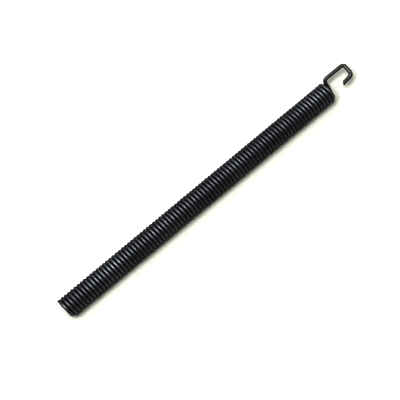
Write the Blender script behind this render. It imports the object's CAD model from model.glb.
import bpy, bmesh, math, random
from mathutils import Matrix, Vector, noise


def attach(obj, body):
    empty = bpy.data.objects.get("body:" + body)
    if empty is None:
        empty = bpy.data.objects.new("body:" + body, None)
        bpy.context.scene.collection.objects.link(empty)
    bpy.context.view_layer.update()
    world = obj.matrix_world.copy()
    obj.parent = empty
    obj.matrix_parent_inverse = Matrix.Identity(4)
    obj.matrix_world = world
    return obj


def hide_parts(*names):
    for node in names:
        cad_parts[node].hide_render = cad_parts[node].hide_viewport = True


# A folding-door return spring: one length of black round wire, close wound,
# plain at one end and bent into an open square hook at the other.

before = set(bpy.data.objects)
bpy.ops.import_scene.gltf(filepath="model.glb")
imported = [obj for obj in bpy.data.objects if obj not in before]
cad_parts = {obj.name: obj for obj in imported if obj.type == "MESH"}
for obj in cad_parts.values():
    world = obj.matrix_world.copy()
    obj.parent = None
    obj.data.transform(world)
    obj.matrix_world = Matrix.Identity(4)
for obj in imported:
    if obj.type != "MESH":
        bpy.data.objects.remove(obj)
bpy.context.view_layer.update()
MM = 0.001
rng = random.Random(41)

# ---------------------------------------------------------------- camera
# Almost straight down on the spring, which lies across the frame from the
# lower left to the upper right.
F_PX = 1200.0
cam_pos = Vector((-1.726, -61.847, 339.294)) * MM
right = Vector((0.76115, -0.64857, 0.0))
up = Vector((0.63122, 0.74079, 0.22978))
look = Vector((0.14903, 0.17490, -0.97324))
look = (look - right * (0.5 / F_PX) + up * (0.5 / F_PX)).normalized()
right = (right - look * right.dot(look)).normalized()
up = right.cross(look)
cam_data = bpy.data.cameras.new("camera")
cam_data.sensor_width = 36.0
cam_data.lens = F_PX / 400.0 * 36.0
cam_data.clip_start = 0.01
cam_data.clip_end = 20.0
cam = bpy.data.objects.new("camera", cam_data)
bpy.context.scene.collection.objects.link(cam)
cam.matrix_world = Matrix((
    (right.x, up.x, -look.x, cam_pos.x),
    (right.y, up.y, -look.y, cam_pos.y),
    (right.z, up.z, -look.z, cam_pos.z),
    (0, 0, 0, 1)))
bpy.context.scene.camera = cam

# ---------------------------------------------------------------- the wire
WIRE_R = 0.575
COIL_R = 2.6
PITCH = 1.17
TURNS = 86
LEAD = 0.66
TILT = math.asin(PITCH / (4 * COIL_R))
HALVES = 2 * TURNS - 1              # half turns in the coil proper

SIDES = 18                          # round the wire
PER_TURN = 50                       # rings in one turn of the coil


class Ring:
    """One section of the wire: where it is, the way the wire runs, and the direction that the first side faces."""

    def __init__(self, p, run, out, s):
        self.p, self.run, self.out, self.s = p, run.normalized(), out, s
        self.out = (out - self.run * out.dot(self.run)).normalized()
        self.across = self.run.cross(self.out)


def smooth(x):
    x = min(1.0, max(0.0, x))
    return x * x * (3 - 2 * x)


def coil_point(deg, wob):
    """The helix, easing into the tipped half ring that the neck leaves from."""
    a = math.radians(deg)
    x = LEAD + PITCH * (deg - 90.0) / 360.0
    last = HALVES * 180.0
    w = smooth((deg - (last - 120.0)) / 120.0)
    mid = LEAD + (HALVES - 1) * PITCH / 2
    xr = mid - COIL_R * math.sin(TILT) * math.cos(a)
    rad = COIL_R * (1 + w * (math.cos(TILT) - 1) * math.cos(a) ** 2)
    fade = min(1.0, deg / 180.0, (last - deg) / 180.0)
    x = x * (1 - w) + xr * w + wob[0](deg) * max(0.0, fade)
    rad = rad + wob[1](deg) * max(0.0, fade)
    return Vector((x, rad * math.cos(a), rad * math.sin(a)))


def slow_noise(seed, size, step):
    """A smooth random function of the angle, in mm, with a new value every step degrees."""
    r = random.Random(seed)
    v = [r.uniform(-1, 1) * size for _ in range(int(HALVES * 180 / step) + 4)]

    def f(deg):
        t = max(0.0, deg) / step
        i = int(t)
        return v[i] + (v[i + 1] - v[i]) * smooth(t - i)
    return f


wobble = (slow_noise(5, 0.0035, 230.0), slow_noise(9, 0.012, 310.0))

rings = []
n_coil = int(HALVES * 0.5 * PER_TURN)
s = 0.0
prev = None
for i in range(n_coil + 1):
    deg = i * HALVES * 180.0 / n_coil
    p = coil_point(deg, wobble)
    q0 = coil_point(max(0.0, deg - 0.5), wobble)
    q1 = coil_point(min(HALVES * 180.0, deg + 0.5), wobble)
    a = math.radians(deg)
    if prev is not None:
        s += (p - prev).length
    prev = p
    rings.append(Ring(p, q1 - q0, Vector((0, math.cos(a), math.sin(a))), s))
rings[-1].run = Vector((0, 0, -1))
rings[-1] = Ring(rings[-1].p, Vector((0, 0, -1)), rings[-1].out, rings[-1].s)


def rolled(a):
    return Matrix.Rotation(math.radians(a), 3, "Z")


def bent(a):
    return Matrix.Rotation(math.radians(a), 3, "Y")


# The wire past the coil: the same rolls, bends and straights as the CAD model.
LEAD_OUT, UNDER_R, UNDER = 30.0, 2.5, 87.18
SQUARE_ROLL, SQUARE_R, SQUARE = 42.0, 2.85, 45.4
RISE_R, RISE_SWEEP, RISE = 2.5, 25.23, 0.6
NECK_R, SHANK = 1.0, 5.6
CORNER_R, CORNER, CROSS = 1.0, 91.6, 1.9
RETURN_R, RETURN, LEG, TIP_CUT = 1.3, 81.89, 3.15, 39.0

tilt_deg = math.degrees(TILT)
st, ct = math.sin(TILT), math.cos(TILT)
F = Matrix(((-st, ct, 0), (ct, st, 0), (0, 0, -1)))
under = F @ rolled(LEAD_OUT + tilt_deg) @ bent(UNDER) @ rolled(-SQUARE_ROLL) @ bent(SQUARE)
h = math.hypot(under[0][0], under[0][1])
rise_roll = math.degrees(math.atan2(under[0][1], under[0][0])
                         - math.acos(-under[0][2] / math.tan(math.radians(RISE_SWEEP)) / h))
rising = under @ rolled(rise_roll) @ bent(RISE_SWEEP)
shank_roll = math.degrees(math.atan2(rising[0][1], rising[0][0]))
along = rising @ rolled(shank_roll) @ bent(90)
level_roll = math.degrees(math.atan2(-along[1][1], -along[1][0]))

STEPS = [
    ("under", LEAD_OUT + tilt_deg, UNDER_R, UNDER),
    ("square", -SQUARE_ROLL, SQUARE_R, SQUARE),
    ("rise_bend", rise_roll, RISE_R, RISE_SWEEP),
    ("rise", 0, 0, RISE),
    ("neck", shank_roll, NECK_R, 90),
    ("shank", level_roll, 0, SHANK),
    ("corner", 0, CORNER_R, CORNER),
    ("cross", 0, 0, CROSS),
    ("return", 0, RETURN_R, RETURN),
]
pos = rings[-1].p.copy()
out = rings[-1].out.copy()


def carry(o, run):
    """The out direction carried along without twisting."""
    return (o - run * o.dot(run)).normalized()


marks = {}
for name, roll, r, amount in STEPS:
    F = F @ rolled(roll)
    marks[name] = [s, None]
    if r > 0:
        c = pos + F.col[0] * r
        n = max(3, int(math.ceil(amount / (7.2 if r > 2 else 6.0))))
        for k in range(1, n + 1):
            a = math.radians(amount * k / n)
            p = c + F @ Vector((-r * math.cos(a), 0, r * math.sin(a)))
            run = F @ Vector((math.sin(a), 0, math.cos(a)))
            s += r * math.radians(amount) / n
            out = carry(out, run)
            rings.append(Ring(p, run, out, s))
        pos = p
        F = F @ bent(amount)
    else:
        n = max(2, int(math.ceil(amount / 0.25)))
        for k in range(1, n + 1):
            s += amount / n
            rings.append(Ring(pos + F.col[2] * (amount * k / n), F.col[2], out, s))
        pos = pos + F.col[2] * amount
    marks[name][1] = s

# the return leg, up to where its slanted tip starts
tan_cut = math.tan(math.radians(TIP_CUT))
full = LEG - 2 * WIRE_R * tan_cut - 0.06
leg_in = F.col[0].copy()            # towards the inside of the hook
leg_run = F.col[2].copy()
leg_pos = pos.copy()
n = int(math.ceil(full / 0.2))
for k in range(1, n + 1):
    rings.append(Ring(pos + leg_run * (full * k / n), leg_run, out, s + full * k / n))
s_leg = s

# ---------------------------------------------------------------- the mesh
bm = bmesh.new()
uv = bm.loops.layers.uv.new("along")
tone = bm.verts.layers.float.new("tone")
worn = bm.verts.layers.float.new("worn")

turn_tone = [rng.random() for _ in range(TURNS + 2)]


def tone_at(s_here):
    t = s_here / (2 * math.pi * COIL_R) - 0.05
    i = int(max(0, min(TURNS, t)))
    f = smooth((t - i - 0.8) / 0.2)
    return turn_tone[i] * (1 - f) + turn_tone[i + 1] * f


def add_ring(ring, radius=WIRE_R, move=None):
    vs = []
    for j in range(SIDES):
        a = 2 * math.pi * j / SIDES
        d = ring.out * math.cos(a) + ring.across * math.sin(a)
        p = ring.p + d * radius
        if move:
            p = move(p, d)
        v = bm.verts.new(p)
        v[tone] = tone_at(ring.s)
        # rubbed where the crown of a turn faces outwards
        away = Vector((0, ring.p.y, ring.p.z)).normalized() if ring.p.x < 100.6 else Vector((0, 0, 1))
        v[worn] = max(0.0, d.dot(away))
        vs.append(v)
    return vs


def join(a, b, s0, s1):
    for j in range(SIDES):
        k = (j + 1) % SIDES
        f = bm.faces.new((a[j], a[k], b[k], b[j]))
        f.smooth = True
        for loop, (u, w) in zip(f.loops, ((s0, j), (s0, j + 1), (s1, j + 1), (s1, j))):
            loop[uv].uv = (u, w / SIDES)


first = add_ring(rings[0])
last, s_last = first, rings[0].s
for ring in rings[1:]:
    now = add_ring(ring)
    join(last, now, s_last, ring.s)
    last, s_last = now, ring.s


# the sheared tip: the wire's end slants to the longer, outer side
def cut_at(p):
    x = (p - leg_pos).dot(leg_in)
    return LEG - tan_cut * WIRE_R - tan_cut * x


for k, (part, radius) in enumerate(((0.35, 1.0), (0.7, 1.0), (0.965, 1.0), (1.0, 0.95))):
    ring = Ring(leg_pos + leg_run * full, leg_run, out, s_leg + full + 0.2 * (k + 1))

    def slide(p, d, part=part):
        z = (p - leg_pos).dot(leg_run)
        return p + leg_run * ((cut_at(p) - z) * part)
    now = add_ring(ring, WIRE_R * radius, slide)
    join(last, now, s_last, ring.s)
    last, s_last = now, ring.s
cap = bm.faces.new(last)
cap.smooth = False
for loop in cap.loops:
    loop[uv].uv = (s_last, 0.5)
cap0 = bm.faces.new(list(reversed(first)))
for loop in cap0.loops:
    loop[uv].uv = (0, 0.5)

bm.normal_update()


# the plain end: flush with its plane, and sheared slanting at the start
def slice_off(verts, co, no):
    vs = set(verts)
    geom = list(vs) + [e for e in bm.edges if e.verts[0] in vs and e.verts[1] in vs] \
        + [f for f in bm.faces if all(v in vs for v in f.verts)]
    res = bmesh.ops.bisect_plane(bm, geom=geom, plane_co=co, plane_no=no, clear_outer=True, dist=1e-5)
    edges = [e for e in res["geom_cut"] if isinstance(e, bmesh.types.BMEdge) and e.is_boundary]
    made = bmesh.ops.holes_fill(bm, edges=edges, sides=0)
    for f in made["faces"]:
        f.smooth = False
        for loop in f.loops:
            loop[uv].uv = (0.0, 0.5)


bm.verts.index_update()
bm.verts.ensure_lookup_table()
start_turn = [v for v in bm.verts if v.co.x < 1.4 and v.index < SIDES * (PER_TURN // 2)]
slice_off(start_turn, Vector((0, 0, 0)), Vector((-1, 0, 0)))
bm.verts.ensure_lookup_table()
c = math.radians(40)
pivot = Vector((LEAD - PITCH / 4 + WIRE_R + 0.01, COIL_R, 0.02))
start_bit = [v for v in bm.verts if v.co.x < 1.2 and v.co.y > 1.2 and -0.1 < v.co.z < 1.9
             and (v.co - rings[0].p).length < 2.4]
slice_off(start_bit, pivot, Vector((-math.sin(c), 0, -math.cos(c))))
bmesh.ops.triangulate(bm, faces=[f for f in bm.faces if len(f.verts) > 4])
bmesh.ops.scale(bm, vec=(MM, MM, MM), verts=bm.verts)

mesh = bpy.data.meshes.new("spring_wire")
bm.to_mesh(mesh)
bm.free()
mesh.set_sharp_from_angle(angle=math.radians(38))
wire = bpy.data.objects.new("spring_wire", mesh)
bpy.context.scene.collection.objects.link(wire)


# ---------------------------------------------------------------- material
def node(nt, kind, at=(0, 0), **values):
    n = nt.nodes.new(kind)
    n.location = at
    for k, v in values.items():
        if k in n.inputs:
            n.inputs[k].default_value = v
        else:
            setattr(n, k, v)
    return n


def steel():
    m = bpy.data.materials.new("black_spring_wire")
    m.use_nodes = True
    nt = m.node_tree
    nt.nodes.clear()
    link = nt.links.new
    shader = node(nt, "ShaderNodeBsdfPrincipled", (700, 0))
    shader.inputs["Metallic"].default_value = 0.86
    # the die's fine lines spread the light along the wire
    shader.inputs["Anisotropic"].default_value = 0.34
    shader.inputs["Specular IOR Level"].default_value = 0.0
    shader.inputs["Specular Tint"].default_value = (0.3, 0.3, 0.3, 1)
    output = node(nt, "ShaderNodeOutputMaterial", (1000, 0))
    link(shader.outputs[0], output.inputs[0])
    coords = node(nt, "ShaderNodeTexCoord", (-1500, 0))
    along_uv = node(nt, "ShaderNodeUVMap", (-1500, -300), uv_map="along")
    grain = node(nt, "ShaderNodeTangent", (200, -650), direction_type="UV_MAP", uv_map="along")
    link(grain.outputs[0], shader.inputs["Tangent"])
    tone_in = node(nt, "ShaderNodeAttribute", (-1500, 300), attribute_name="tone")
    worn_in = node(nt, "ShaderNodeAttribute", (-1500, 500), attribute_name="worn")

    # mottled skin of the tempered wire
    mottle = node(nt, "ShaderNodeTexNoise", (-1200, 100), Scale=420.0, Detail=5.0, Roughness=0.6)
    link(coords.outputs["Object"], mottle.inputs["Vector"])
    patch = node(nt, "ShaderNodeTexNoise", (-1200, -100), Scale=90.0, Detail=3.0, Roughness=0.5)
    link(coords.outputs["Object"], patch.inputs["Vector"])
    # fine lines that the die drew along the wire
    stretch = node(nt, "ShaderNodeMapping", (-1250, -400))
    stretch.inputs["Scale"].default_value = (0.35, 46.0, 1.0)
    link(along_uv.outputs[0], stretch.inputs["Vector"])
    lines = node(nt, "ShaderNodeTexNoise", (-1000, -400), Scale=1.0, Detail=4.0, Roughness=0.65)
    link(stretch.outputs[0], lines.inputs["Vector"])

    # colour: near black, a little blue, greyer where it is rubbed
    base = node(nt, "ShaderNodeMix", (-300, 300), data_type="RGBA")
    base.inputs["A"].default_value = (0.128, 0.131, 0.146, 1)
    base.inputs["B"].default_value = (0.167, 0.172, 0.189, 1)
    link(mottle.outputs["Fac"], base.inputs["Factor"])
    wear = node(nt, "ShaderNodeMath", (-900, 500), operation="POWER")
    wear.inputs[1].default_value = 10.0
    link(worn_in.outputs["Fac"], wear.inputs[0])
    spots = node(nt, "ShaderNodeMapRange", (-900, 250))
    spots.inputs["From Min"].default_value = 0.42
    spots.inputs["From Max"].default_value = 0.68
    link(patch.outputs["Fac"], spots.inputs["Value"])
    amount = node(nt, "ShaderNodeMath", (-650, 450), operation="MULTIPLY")
    link(wear.outputs[0], amount.inputs[0])
    link(spots.outputs[0], amount.inputs[1])
    rubbed = node(nt, "ShaderNodeMix", (0, 300), data_type="RGBA")
    link(amount.outputs[0], rubbed.inputs["Factor"])
    link(base.outputs["Result"], rubbed.inputs["A"])
    rubbed.inputs["B"].default_value = (0.26, 0.27, 0.29, 1)
    # the bent end is a little darker and browner than the coil
    place = node(nt, "ShaderNodeSeparateXYZ", (-300, 600))
    link(coords.outputs["Object"], place.inputs[0])
    bent_end = node(nt, "ShaderNodeMapRange", (0, 600))
    bent_end.inputs["From Min"].default_value = 0.1005
    bent_end.inputs["From Max"].default_value = 0.1025
    link(place.outputs["X"], bent_end.inputs["Value"])
    skin = node(nt, "ShaderNodeMix", (300, 300), data_type="RGBA", blend_type="MULTIPLY")
    link(bent_end.outputs["Result"], skin.inputs["Factor"])
    link(rubbed.outputs["Result"], skin.inputs["A"])
    skin.inputs["B"].default_value = (0.89, 0.88, 0.82, 1)
    link(skin.outputs["Result"], shader.inputs["Base Color"])

    # gloss: satin, with each turn a little different
    gloss = node(nt, "ShaderNodeMapRange", (-300, 0))
    gloss.inputs["To Min"].default_value = 0.40
    gloss.inputs["To Max"].default_value = 0.53
    mixed = node(nt, "ShaderNodeMath", (-600, 0), operation="MULTIPLY_ADD")
    mixed.inputs[1].default_value = 0.5
    link(tone_in.outputs["Fac"], mixed.inputs[0])
    half = node(nt, "ShaderNodeMath", (-800, -50), operation="MULTIPLY")
    half.inputs[1].default_value = 0.5
    link(mottle.outputs["Fac"], half.inputs[0])
    link(half.outputs[0], mixed.inputs[2])
    link(mixed.outputs[0], gloss.inputs["Value"])
    link(gloss.outputs[0], shader.inputs["Roughness"])

    # relief: the drawn lines, and a faint orange peel in the coating
    bump1 = node(nt, "ShaderNodeBump", (200, -400), Strength=0.25, Distance=0.000012)
    link(lines.outputs["Fac"], bump1.inputs["Height"])
    bump2 = node(nt, "ShaderNodeBump", (450, -400), Strength=0.3, Distance=0.00002)
    link(mottle.outputs["Fac"], bump2.inputs["Height"])
    link(bump1.outputs[0], bump2.inputs["Normal"])
    link(bump2.outputs[0], shader.inputs["Normal"])
    return m


mesh.materials.append(steel())
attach(wire, "root")
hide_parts("coil", "hook")

# ---------------------------------------------------------------- the set
floor_z = -(COIL_R + WIRE_R) * MM - 0.00002
fm = bpy.data.meshes.new("floor")
fb = bmesh.new()
bmesh.ops.create_grid(fb, x_segments=1, y_segments=1, size=4.0)
fb.to_mesh(fm)
fb.free()
floor = bpy.data.objects.new("floor", fm)
floor.location = (0.05, 0, floor_z)
bpy.context.scene.collection.objects.link(floor)
paper = bpy.data.materials.new("pale_floor")
paper.use_nodes = True
pb = paper.node_tree.nodes["Principled BSDF"]
pb.inputs["Base Color"].default_value = (0.662, 0.665, 0.630, 1)
pb.inputs["Roughness"].default_value = 0.9
pb.inputs["Specular IOR Level"].default_value = 0.1
fm.materials.append(paper)

world = bpy.data.worlds.new("studio")
bpy.context.scene.world = world
world.use_nodes = True
bg = world.node_tree.nodes["Background"]
bg.inputs[0].default_value = (1.0, 1.0, 0.92, 1)
bg.inputs[1].default_value = 0.19

def softbox(name, towards, along, size, energy, color=(1, 1, 1)):
    """An area light a metre away in the direction towards, its long side turned to lie along."""
    data = bpy.data.lights.new(name, "AREA")
    data.shape = "RECTANGLE"
    data.size, data.size_y = size
    data.energy = energy
    data.color = color
    z = Vector(towards).normalized()
    x = Vector(along)
    x = (x - z * x.dot(z)).normalized()
    y = z.cross(x)
    at = Vector((0.055, 0, 0)) + z
    lamp = bpy.data.objects.new(name, data)
    bpy.context.scene.collection.objects.link(lamp)
    lamp.matrix_world = Matrix((
        (x.x, y.x, z.x, at.x),
        (x.y, y.y, z.y, at.y),
        (x.z, y.z, z.z, at.z),
        (0, 0, 0, 1)))
    return lamp


# one big soft key, nearly overhead and a little to the far side of the plain
# end, a low row behind it that reaches round the coil, and a weak side fill
softbox("key", (-0.23, 0.19, 1.0), (1.0, 0, 0), (0.84, 0.46), 15.0)
softbox("low", (-0.36, 0.95, 1.0), (1.0, 0, 0), (1.10, 0.42), 5.0)
softbox("side", (0.95, -0.15, 1.0), (0, 1.0, 0), (0.60, 0.60), 1.7, (1.0, 1.0, 0.92))

vs = bpy.context.scene.view_settings
vs.view_transform = "Standard"
vs.look = "None"
vs.exposure = 0.0
vs.gamma = 0.5
